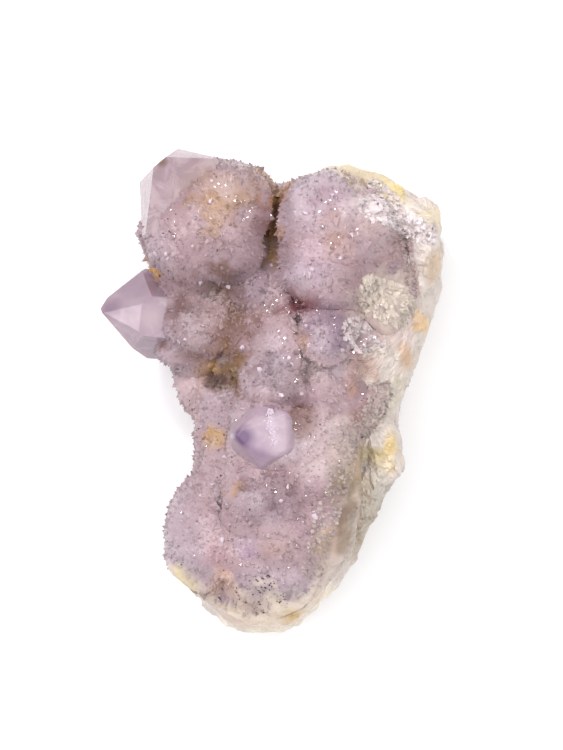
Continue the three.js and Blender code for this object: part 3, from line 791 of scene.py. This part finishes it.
def coat_colour(points, valley):
    """The coat's colour: cloudy in patches, that of the vein where it is worn, and painted shade that makes it a
    little browner and darker in the valleys."""
    cloud = np.clip(0.9 * roughness(points, 6.0, 3, 60), 0, 0.4)[:, None]
    colour = tinted(points, LILAC, COAT_STAINS)
    colour = colour * (1 - cloud) + CLOUD * cloud
    worn = worn_share(points)[:, None]
    colour = colour * (1 - worn) + vein_colour(points) * worn
    return colour * (1 - valley[:, None] * (1 - PAINTED_VALLEY_SHADE))


# %% [markdown]
# ## Materials
#
# Quartz is glass-like: index 1.544, very smooth, nearly without colour. What makes the druse look milky is that
# light wanders through many small crystals before it comes out again, so they have hardly any dark side. So
# the shader's soft part is turned most of the way from each face to the ground below it, and a thin clear coat
# is turned less, so that single faces still glint. The bare tips let light through, and the broken vein is dry.

# %% Materials


def material_with(name, **sockets):
    """A material whose Principled shader has the given values, with its nodes and links at hand."""
    material = bpy.data.materials.new(name)
    material.use_nodes = True
    shader = material.node_tree.nodes["Principled BSDF"]
    for key, value in sockets.items():
        shader.inputs[key.replace("_", " ")].default_value = value
    return material, shader, material.node_tree.nodes, material.node_tree.links


def attribute(nodes, name):
    """What is kept with the points of the mesh under a name."""
    node = nodes.new("ShaderNodeAttribute")
    node.attribute_name = name
    return node


def vector_math(nodes, links, operation, *inputs):
    """One step of sums on vectors, each input a socket or a plain value."""
    node = nodes.new("ShaderNodeVectorMath")
    node.operation = operation
    for number, value in enumerate(inputs):
        if isinstance(value, bpy.types.NodeSocket):
            links.new(value, node.inputs[number])
        elif operation == "SCALE" and number == 1:
            node.inputs["Scale"].default_value = value
        else:
            node.inputs[number].default_value = value
    return node.outputs["Vector"]


def facets(nodes, links, size, tilt):
    """The surface's own normal, tilted at random in each of many small cells, like broken sugar."""
    place = nodes.new("ShaderNodeTexCoord")
    cells = nodes.new("ShaderNodeTexVoronoi")
    cells.inputs["Scale"].default_value = 1 / (size * MM)
    links.new(place.outputs["Object"], cells.inputs["Vector"])
    centred = vector_math(nodes, links, "SUBTRACT", cells.outputs["Color"], (0.5, 0.5, 0.5))
    tilted = vector_math(nodes, links, "SCALE", centred, tilt)
    own = nodes.new("ShaderNodeNewGeometry").outputs["Normal"]
    return vector_math(nodes, links, "NORMALIZE", vector_math(nodes, links, "ADD", own, tilted))


def drusy_quartz(name, softness, facet_tilt):
    """The druse: a soft colour under a clear coat. Each looks along unit(share * ground + (1 - share) * facet),
    with its own share of the ground's normal."""
    material, shader, nodes, links = material_with(name, Roughness=0.5, Specular_IOR_Level=0.1, Coat_Weight=0.55,
                                                   Coat_Roughness=0.08, Coat_IOR=1.544)
    links.new(attribute(nodes, "tint").outputs["Color"], shader.inputs["Base Color"])
    ground = attribute(nodes, "ground").outputs["Vector"]
    mirror = facets(nodes, links, 0.4, facet_tilt)
    for socket, share in (("Normal", softness), ("Coat Normal", 0.55)):
        parts = [vector_math(nodes, links, "SCALE", ground, share),
                 vector_math(nodes, links, "SCALE", mirror, 1 - share)]
        both = vector_math(nodes, links, "ADD", *parts)
        links.new(vector_math(nodes, links, "NORMALIZE", both), shader.inputs[socket])
    return material


def mixed(nodes, links, share, first, second):
    """One colour turned into another by a share from 0 to 1."""
    node = nodes.new("ShaderNodeMix")
    node.data_type = "RGBA"
    links.new(share, node.inputs["Factor"])
    for socket, value in ((node.inputs["A"], first), (node.inputs["B"], second)):
        if isinstance(value, bpy.types.NodeSocket):
            links.new(value, socket)
        else:
            socket.default_value = (*value, 1)
    return node.outputs["Result"]


def spread(nodes, links, value, low, high, top):
    """A value mapped from between two limits to between 0 and a top share."""
    node = nodes.new("ShaderNodeMapRange")
    node.inputs["From Min"].default_value = low
    node.inputs["From Max"].default_value = high
    node.inputs["To Max"].default_value = top
    links.new(value, node.inputs["Value"])
    return node.outputs["Result"]


def bare_quartz(name, base, cloud, zones, see_through, roughness=0.06):
    """A bare tip: see-through, faintly lilac by absorption, with clouds and zones of colour, some of them painted
    shade and painted highlight, as noted where they are given. Each zone is a soft ball: its middle in millimetres,
    its radius, its colour and how much of it shows."""
    material, shader, nodes, links = material_with(name, Roughness=roughness, IOR=1.544,
                                                   Transmission_Weight=see_through)
    place = nodes.new("ShaderNodeTexCoord").outputs["Object"]
    clouds = nodes.new("ShaderNodeTexNoise")
    clouds.inputs["Scale"].default_value = 260.0
    clouds.inputs["Detail"].default_value = 7.0
    clouds.inputs["Roughness"].default_value = 0.62
    clouds.inputs["Distortion"].default_value = 0.8
    links.new(place, clouds.inputs["Vector"])
    colour = mixed(nodes, links, spread(nodes, links, clouds.outputs["Fac"], 0.42, 0.62, 1.0), base, cloud)
    for middle, radius, tone, share in zones:
        away = nodes.new("ShaderNodeVectorMath")
        away.operation = "DISTANCE"
        links.new(place, away.inputs[0])
        away.inputs[1].default_value = (np.array(middle) - MIDDLE) * MM
        within = spread(nodes, links, away.outputs["Value"], radius * MM, 0.35 * radius * MM, share)
        colour = mixed(nodes, links, within, colour, tone)
    links.new(colour, shader.inputs["Base Color"])
    absorb = nodes.new("ShaderNodeVolumeAbsorption")
    absorb.inputs["Color"].default_value = (0.62, 0.42, 0.72, 1)
    absorb.inputs["Density"].default_value = 45.0
    links.new(absorb.outputs["Volume"], nodes["Material Output"].inputs["Volume"])
    return material


def phantom_quartz():
    """The cloudy core inside a bare tip."""
    material, shader, nodes, links = material_with("phantom", Roughness=0.5, Subsurface_Weight=0.6,
                                                   Subsurface_Scale=0.002)
    place = nodes.new("ShaderNodeTexCoord").outputs["Object"]
    veil = nodes.new("ShaderNodeTexNoise")
    veil.inputs["Scale"].default_value = 420.0
    links.new(place, veil.inputs["Vector"])
    veiled = mixed(nodes, links, spread(nodes, links, veil.outputs["Fac"], 0.4, 0.62, 1.0), linear(176, 150, 168),
                   linear(222, 204, 212))
    links.new(veiled, shader.inputs["Base Color"])
    return material


def vein_quartz():
    """The broken vein: tinted, dry, with fine grain in its normal."""
    material, shader, nodes, links = material_with("vein quartz", Roughness=0.35, IOR=1.544)
    links.new(attribute(nodes, "tint").outputs["Color"], shader.inputs["Base Color"])
    links.new(facets(nodes, links, 0.6, 0.5), shader.inputs["Normal"])
    return material


DRUSE = drusy_quartz("drusy quartz", 0.75, 0.7)
BED = drusy_quartz("bed of the druse", 0.75, 0.9)
PHANTOM = phantom_quartz()
CLEAR = {
    "large": bare_quartz("large tip", linear(158, 130, 140), linear(190, 166, 172), [
        ((-12, 39, 37), 9, linear(180, 152, 134), 0.6), ((-27, 38, 26), 7, linear(178, 158, 168), 0.8),
        ((-14, 49, 29), 8, linear(192, 174, 184), 0.8), ((-22.4, 46.1, 38.4), 1.5, linear(118, 86, 70), 0.95)], 0.34),
    "pointed": bare_quartz("pointed tip", linear(180, 156, 170), linear(200, 178, 188), [
        # the next zone is painted shade: the upper face painted darker than the rest of the tip
        ((-29, 22, 23.5), 8, linear(158, 132, 150), 0.85), ((-33.6, 17.6, 24.6), 3.4, linear(132, 102, 126), 0.8),
        ((-24.4, 15, 27), 4, linear(200, 178, 186), 0.8)], 0.38),
    "middle": bare_quartz("middle tip", linear(172, 148, 164), linear(186, 164, 176), [
        ((-6.2, -9.2, 40.4), 3.4, linear(104, 74, 112), 0.95), ((-3, -12, 38.6), 3.6, linear(156, 128, 154), 0.7),
        # the three pale spots below are a painted highlight: the glare band of the window along one face
        ((-0.6, -4.4, 39.6), 1.4, linear(196, 176, 190), 0.8), ((-0.2, -6.8, 39.6), 1.6, linear(196, 176, 190), 0.85),
        ((0.6, -9.4, 39.4), 1.5, linear(196, 176, 190), 0.8)], 0.2, 0.34),
}
VEIN = vein_quartz()

# %% [markdown]
# ## The broken vein
#
# The matrix was snapped out of a wider vein: flat fractures, shell-shaped ones, and a skin of granular quartz
# that chips into small flat faces. Its grid runs round the upright axis through its centre.

# %% Vein


def broken(points, normals, chip, depth):
    """Points moved along their normals by chips of two sizes and a fine roughness. The depth may be an array."""
    amount = 0.6 * chips(points, chip, 3) + 0.35 * chips(points, chip / 2.7, 8) + 0.2 * roughness(points, chip / 3, 3)
    return points + normals * (depth * amount)[:, None]


def vein_piece():
    """The matrix, chipped all over except where it rests."""
    smooth, faces, normals = matrix_surface(170, 440)
    points = broken(smooth, normals, 4.5, 0.8)
    points[:, 2] = np.where(smooth[:, 2] < 0.01, 0, np.maximum(points[:, 2], 0))
    return new_piece("broken_vein", points, faces, VEIN, vein_colour(points))


def ledges_piece():
    """The angular ledges along the broken edge."""
    surfaces = []
    for part in BODIES:
        if part["kind"] == "chunk":
            points, faces, normals = body_surface(part, 56, 72)
            surfaces.append((broken(points, normals, 4.2, 0.7), faces))
    points, faces = joined(surfaces)
    return new_piece("broken_ledges", points, faces, VEIN, vein_colour(points))


vein_piece()
ledges_piece()


RAISED = 0.4  # how far the bed lies above the feet of the points


def bed_piece():
    """What shows between the small points: the coated bodies and the coat's bed, eased into one another."""
    surfaces = []
    for own, part in enumerate(COATED + [None]):
        points, faces, normals = body_surface(part, 40, 54) if part else crust_surface(80, 160)
        points, normals, lifted, hidden = eased(points, normals, own)
        points = points + np.where(hidden, -1.0, RAISED)[:, None] * normals
        points = broken(points, normals, 3.6, 0.5 * worn_share(points))
        points[:, 2] = np.maximum(points[:, 2], 0.05)
        # the lift into a valley sets how much painted shade the coat colour gets
        surfaces.append((points, faces, normals, coat_colour(points, np.clip(lifted / 2.5, 0, 1))))
    points, faces, normals, colour = joined(surfaces)
    return new_piece("bed_of_the_coat", points, faces, BED, colour, normals, smooth=True)


bed_piece()

# %% [markdown]
# ## The small points
#
# Of each little crystal only the six-sided pyramid at its end shows, so that is all that is made. They stand roughly
# square to whatever they grow on, lean at random, and come in all sizes, the big ones far apart and the fine ones
# filling in. One point is kept in each small cube of space, which spreads them evenly without laying them out in
# rows. Along the worn edge and round the upper ledge the crystals are clear and white, and single paler crystals over
# the druse carry a painted glint.

# %% Where the points stand
rng = np.random.default_rng(20)


def ground_of(surface, own, slack):
    """Places strewn over the part of a surface that is open to the air, with normals and valley shares."""
    points, _, normals = surface
    shift = rng.normal(0, 0.2, points.shape)
    points = points + shift - normals * np.einsum("ij,ij->i", shift, normals)[:, None]
    valley = np.zeros(len(points))
    if own is not None:
        points, normals, lifted, hidden = eased(points, normals, own)
        valley = np.clip(lifted / 2.5, 0, 1)
        points, normals, valley = points[~hidden], normals[~hidden], valley[~hidden]
    free = open_to_air(points, own, slack)
    return points[free], normals[free], valley[free]


def merged(grounds):
    """Several sets of places as one."""
    return tuple(np.concatenate(parts) for parts in zip(*grounds))


def one_in_each_cube(points, size):
    """The numbers of the places kept: the first, in a random order, in each cube of a given size."""
    order = rng.permutation(len(points))
    cubes = np.floor(points[order] / size).astype(np.int64) + 500
    key = (cubes[:, 0] * 1000 + cubes[:, 1]) * 1000 + cubes[:, 2]
    return order[np.unique(key, return_index=True)[1]]


coat_ground = merged([ground_of(body_surface(part, 100, 140), own, 0.9) for own, part in enumerate(COATED)]
                     + [ground_of(crust_surface(200, 360), len(COATED), 0.9)])
print(len(coat_ground[0]), "places for small points")

# %% Growing the points


def square_to(axes):
    """Two directions square to each axis and to each other."""
    helper = np.where(np.abs(axes[:, 2:]) < 0.9, [[0, 0, 1.0]], [[1.0, 0, 0]])
    first = unit(np.cross(axes, helper))
    return first, np.cross(axes, first)


def six_sided_points(name, feet, normals, axes, wide, high, tint):
    """Small quartz tips as six-sided pyramids. Corner k of the foot lies w/2 times a random 0.82 to 1.18 from
    the axis, and 0.3 w below the place; the apex stands h above it, up to 0.16 w off the axis each way."""
    count = len(feet)
    u, v = square_to(axes)
    turn = rng.uniform(0, np.pi / 3, count)[:, None] + np.arange(6) * np.pi / 3
    radius = wide[:, None] / 2 * rng.uniform(0.82, 1.18, (count, 6))
    ring = radius[..., None] * (np.cos(turn)[..., None] * u[:, None] + np.sin(turn)[..., None] * v[:, None])
    low = feet[:, None] + ring - axes[:, None] * (0.3 * wide)[:, None, None]
    off = rng.uniform(-0.16, 0.16, (2, count)) * wide
    apex = (feet + axes * high[:, None] + u * off[0][:, None] + v * off[1][:, None])[:, None]
    points = np.concatenate([low, apex], axis=1).reshape(-1, 3)
    points[:, 2] = np.maximum(points[:, 2], 0.05)
    start = 7 * np.arange(count)[:, None]
    k, n = np.arange(6), (np.arange(6) + 1) % 6
    sides = np.stack([start + k, start + n, np.broadcast_to(start + 6, (count, 6))], -1).reshape(-1, 3)
    # painted light: the apex of each point is painted 6 percent lighter than its foot
    apex_painted_light = np.array([1, 1, 1, 1, 1, 1, 1.06])[None, :, None]
    colour = (tint[:, None] * apex_painted_light).reshape(-1, 3)
    return new_piece(name, points, [sides, start + k[::-1]], DRUSE, colour,
                     np.repeat(normals, 7, axis=0))


def grown_points(name, ground, size, width, lean, tall):
    """Small crystals on one place in each cube. Widths vary by a third either way, each crystal's own tint by
    a twentieth, and both widths and numbers fall off where the coat is worn. On the steep flanks the points
    are down to three quarters as tall, because there they grew crowded and stayed blunt."""
    chosen = one_in_each_cube(ground[0], size)
    chosen = chosen[rng.random(len(chosen)) > 0.5 * worn_share(ground[0][chosen])]
    feet, normals, valley = (g[chosen] for g in ground)
    worn = worn_share(feet)
    wide = width * rng.uniform(0.65, 1.35, len(feet)) * (1 - 0.4 * worn)
    high = wide * rng.uniform(*tall, len(feet)) * (1 - 0.2 * worn)
    high = high * np.clip(0.76 + 0.5 * normals[:, 2], 0.76, 1)
    axes = unit(normals + rng.normal(0, lean, normals.shape))
    # the coat colour includes the painted shade of the valleys
    tint = coat_colour(feet, valley) * (1 + rng.normal(0, 0.05, (len(feet), 1)))
    return six_sided_points(name, feet, normals, axes, wide, high, tint)


def near_line(points, line, reach):
    """The places seen from above within a distance of a bent line."""
    share = np.linspace(0, 1, 60)
    along = np.column_stack([np.interp(share * (len(line) - 1), range(len(line)), line[:, k]) for k in (0, 1)])
    return np.linalg.norm(points[:, None, :2] - along[None], axis=2).min(axis=1) < reach


# each growth: a line seen from above, how far from it, how far apart, least and most width, colour
PALE_GROWTHS = [
    ([(19, 37), (22.4, 35.8), (25, 34.4), (28, 33.2), (31, 32)], 2.2, 0.9, 1.0, 1.9, linear(226, 212, 214)),
    ([(20.5, 41.6), (23, 39.6), (25.2, 36.4), (26.2, 33)], 1.3, 0.8, 0.9, 1.6, linear(216, 200, 196)),
    ([(26.6, 31.5), (27.3, 28.4), (27.8, 24), (28.2, 20)], 1.3, 0.8, 0.8, 1.6, linear(192, 168, 166)),
    ([(20.6, 19.4), (24.6, 17.2)], 3.6, 1.1, 1.3, 3.0, linear(212, 196, 184)),
    ([(16.4, 12), (19.6, 9)], 2.6, 1.2, 1.2, 2.2, linear(208, 192, 194)),
    ([(22, 1), (20.5, -4), (17, -8), (14.6, -12), (12.8, -20), (10, -28), (8, -36)], 2.2, 1.2, 0.8, 1.6,
     linear(178, 160, 156)),
]
# crystals that stand out singly: where each is seen from above, and its width
GRAINS = np.array([(18.9, 36.6, 2.6), (20.8, 36.4, 4.2), (20.4, 34.6, 2.4), (22.8, 36.2, 2.8), (22.4, 34.2, 2.4)])
# then single crystals whose pale tint is a painted glint, in the same columns
PAINTED_GLINT_CRYSTALS = np.array([
    (-3.3, 4.1, 1.9), (-22.2, 27.5, 1.5), (-21.6, 26.1, 1.5), (-24.3, 27.9, 1.8), (-6.7, 9.1, 1.5),
    (3.4, 7.3, 1.3), (9.2, 8.5, 1.3), (4.2, 5.1, 1.3), (1.5, -1.3, 1.5), (5.8, -1.1, 1.5), (-0.7, 26.1, 1.3),
    (7.6, 23.7, 1.5), (8.6, 29.7, 1.3), (-16.4, 28.5, 1.3), (-13.2, 38.0, 1.0), (-12.6, 42.6, 1.0),
    (11.6, 39.8, 1.3), (7.0, 35.0, 1.3), (11.4, 24.1, 1.3), (-12.8, -19.5, 1.3), (-12.2, -22.5, 1.5),
    (-9.7, -23.5, 1.3), (3.0, -18.7, 1.3), (6.8, -18.7, 1.3), (1.8, -22.5, 1.5), (6.4, -25.9, 1.5),
    (9.0, -25.7, 1.8), (-10.5, -29.6, 1.5), (-15.4, -21.3, 1.3), (-10.3, -13.4, 1.8), (-15.4, -7.2, 1.5),
    (-19.8, 10.0, 1.3), (-18.4, 10.2, 1.3), (14.5, 8.3, 1.3), (-9.5, 20.8, 1.5), (-14.8, 21.4, 1.5),
    (6.0, 13.4, 1.5), (6.8, 9.8, 1.3), (13.0, 26.1, 1.3), (16.1, 31.3, 1.3),
])


def pale_points():
    """Pale crystals on the coat and the ledges: rows and patches of clear white small ones near the lines above, and
    single ones, each on the highest ground within 0.7 mm of its place: white grains, and paler crystals whose light
    tint is a painted glint."""
    coat = (coat_ground[0] + RAISED * coat_ground[1], *coat_ground[1:])
    ledges = [ground_of(body_surface(part, 100, 140), None, 1.4) for part in BODIES if part["kind"] == "chunk"]
    points, normals, _ = merged([coat] + ledges)
    rows = []
    for line, reach, apart, least, most, colour in PALE_GROWTHS:
        close = np.flatnonzero(near_line(points, np.array(line), reach) & (points[:, 2] > 20))
        chosen = close[one_in_each_cube(points[close], apart)]
        wide = rng.uniform(least, most, len(chosen))
        rows.append((chosen, wide, wide * rng.uniform(0.35, 0.7, len(chosen)),
                     colour * rng.uniform(0.86, 1.05, (len(chosen), 1))))
    # grains keep their own white; the pale tint of the other set is a painted glint
    for single, colour in ((GRAINS, linear(228, 214, 216)), (PAINTED_GLINT_CRYSTALS, linear(200, 180, 192))):
        far = np.linalg.norm(points[None, :, :2] - single[:, None, :2], axis=2)
        seats = np.argmax(np.where(far < 0.7, points[None, :, 2], -1), axis=1)
        wide = single[:, 2]
        rows.append((seats, wide, 0.45 * wide, colour * rng.uniform(0.9, 1.05, (len(seats), 1))))
    chosen, wide, high, tint = (np.concatenate(column) for column in zip(*rows))
    upright = normals[chosen]
    axes = unit(upright + [0, -0.2, 0.4] + rng.normal(0, 0.3, upright.shape))
    return six_sided_points("pale_points", points[chosen], upright, axes, wide, high, tint)


def glare_scales():
    """The ragged band of low scales across the middle tip, which mirror the window together; their pale tint adds a
    painted highlight to that reflection.
    """
    share = rng.uniform(0, 1, 90)
    x = -1.2 + 1.7 * share + rng.normal(0, 0.45, len(share)) + 1.4 * (share - 0.5) ** 2
    y = -3.6 - 7.2 * share
    normal = np.array([0.2, 0.05, 0.98])
    z = 40.5 - (normal[0] * (x + 6.2) + normal[1] * (y + 8.7)) / normal[2]
    feet = np.column_stack([x, y, z + 0.02])
    upright = np.broadcast_to(normal, feet.shape)
    axes = unit(upright + rng.normal(0, 0.12, feet.shape))
    wide = rng.uniform(0.3, 0.9, len(feet))
    # painted highlight: the scales' pale tint brightens their reflection of the window
    tint = linear(192, 174, 188) * rng.uniform(0.92, 1.05, (len(feet), 1))
    return six_sided_points("glare_scales", feet, upright, axes, wide, 0.05 * wide + 0.05, tint)


grown_points("large_points", coat_ground, 2.8, 2.2, 0.26, (0.38, 0.6))
grown_points("middle_points", coat_ground, 1.6, 1.6, 0.26, (0.4, 0.65))
grown_points("fine_points", coat_ground, 0.95, 1.0, 0.28, (0.45, 0.75))
pale_points()
glare_scales()

# %% [markdown]
# ## Dark specks
#
# Here and there a dark grain of iron oxide, a quarter of a millimetre across, sits between the points. Each
# is an octahedron, and a few dozen lie together low on the front.

# %% Specks
SPECK_FACES = np.array([(0, 2, 4), (2, 1, 4), (1, 3, 4), (3, 0, 4), (2, 0, 5), (1, 2, 5), (3, 1, 5), (0, 3, 5)])


def specks_piece():
    """Octahedra of uneven size: some strewn over the whole coat, the others near one place."""
    feet, normals, _ = coat_ground
    near = np.flatnonzero(np.linalg.norm(feet - np.array([-1.6, -39, 25]), axis=1) < 6)
    chosen = np.concatenate([rng.choice(np.flatnonzero(worn_share(feet) == 0), 110), rng.choice(near, 60)])
    middles = feet[chosen] + 0.65 * normals[chosen]
    corners = np.array([(1, 0, 0), (-1, 0, 0), (0, 1, 0), (0, -1, 0), (0, 0, 1), (0, 0, -1.0)])
    sizes = rng.uniform(0.1, 0.24, (len(chosen), 1, 1)) * rng.uniform(0.6, 1.3, (len(chosen), 6, 1))
    points = (middles[:, None] + corners * sizes).reshape(-1, 3)
    faces = (6 * np.arange(len(chosen))[:, None, None] + SPECK_FACES).reshape(-1, 3)
    tint = np.repeat(rng.uniform(0.5, 1.6, (len(chosen), 1)) * linear(70, 54, 46), 6, axis=0)
    return new_piece("dark_specks", points, [faces], VEIN, tint)


specks_piece()

# %% [markdown]
# ## The bare tips
#
# A quartz crystal is the space inside its faces. The corners are where three faces meet, so every three are tried,
# and those meeting points that lie inside all the other faces are kept. Their hull is the crystal, and a narrow bevel
# gives each edge the thin bright line that real ones have. The middle tip is etched: its edges are round, and low
# scales on one face break up the reflection of the window; the scales' pale tint and pale zones on that face add a
# painted highlight to it.

# %% Tips


def tip_corners(normals, distances):
    """The corners of the space inside all the planes."""
    corners = []
    for i in range(len(normals)):
        for j in range(i + 1, len(normals)):
            for k in range(j + 1, len(normals)):
                three = [i, j, k]
                if abs(np.linalg.det(normals[three])) > 1e-4:
                    corner = np.linalg.solve(normals[three], distances[three])
                    if (normals @ corner < distances + 1e-4).all():
                        corners.append(corner)
    return np.unique(np.round(corners, 3), axis=0)


def hull_piece(name, corners, material, bevel):
    """The hull of some corners, with flat faces and narrow bevels."""
    form = bmesh.new()
    for corner in (corners - MIDDLE) * MM:
        form.verts.new(corner)
    bmesh.ops.convex_hull(form, input=form.verts)
    bmesh.ops.dissolve_limit(form, angle_limit=math.radians(1), verts=form.verts, edges=form.edges)
    bmesh.ops.recalc_face_normals(form, faces=form.faces)
    mesh = bpy.data.meshes.new(name)
    form.to_mesh(mesh)
    form.free()
    mesh.materials.append(material)
    piece = bpy.data.objects.new(name, mesh)
    bpy.context.scene.collection.objects.link(piece)
    edge = piece.modifiers.new("edge", "BEVEL")
    edge.width = bevel * MM
    edge.segments = 2 if bevel < 0.5 else 5
    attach(piece, "root")
    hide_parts(NODE)
    print(name, "has", len(mesh.polygons), "faces")
    return piece


BEVELS = {"large": 0.12, "pointed": 0.12, "middle": 1.1}  # the middle tip is etched and rounded
for tip_name, planes in TIP_PLANES.items():
    hull_piece(f"{tip_name}_bare_tip", tip_corners(*planes), CLEAR[tip_name], BEVELS[tip_name])
    hull_piece(f"{tip_name}_phantom", tip_corners(planes[0], planes[1] - 1.7), PHANTOM, 0.3)
